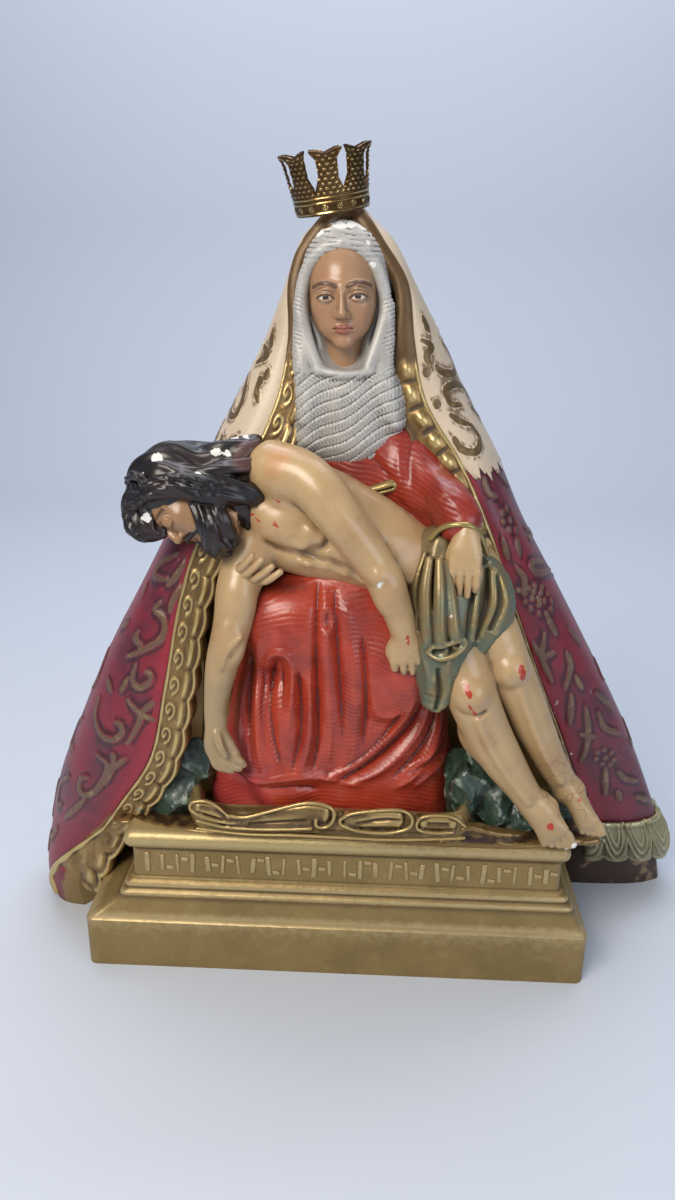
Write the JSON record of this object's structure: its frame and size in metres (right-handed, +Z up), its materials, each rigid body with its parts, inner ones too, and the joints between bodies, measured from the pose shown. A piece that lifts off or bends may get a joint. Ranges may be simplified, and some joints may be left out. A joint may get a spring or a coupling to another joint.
{
  "type": "mater dolorosa statue",
  "caption": "Painted plaster pieta on a gilt moulded plinth: a veiled seated mother in a wide patterned mantle holds her dead son, with a loose stamped brass crown on her hood",
  "frame": {"origin": "the middle of the plinth's underside, which the statue stands on", "axes": "+Z up through the figures; +X to the viewer's right along the plinth's front; -Y the side that the group faces"},
  "size_m": [0.2958, 0.1164, 0.3204],
  "materials": {
    "crimson_mantle": "cast plaster, satin crimson paint with raised dull gold scrolls",
    "beige_mantle": "cast plaster, cream repaint with painted gold scrolls",
    "gilt_paint": "bronze powder paint on plaster, worn and slightly metallic",
    "red_robe": "cast plaster, varnished orange red paint over combed lines",
    "linen_veil": "cast plaster, grey white paint over fine ribs",
    "flesh": "cast plaster, varnished flesh paint with chips",
    "dark_hair": "cast plaster, glossy dark brown paint with white chips",
    "loincloth_gold": "green and gold bronze paint on plaster",
    "green_rock": "cast plaster, dark green varnished paint",
    "crown_brass": "thin stamped sheet, bright with dark recesses"
  },
  "bodies": {
    "root": {"statue": "crimson_mantle", "crown": "crown_brass"}
  },
  "joints": []
}
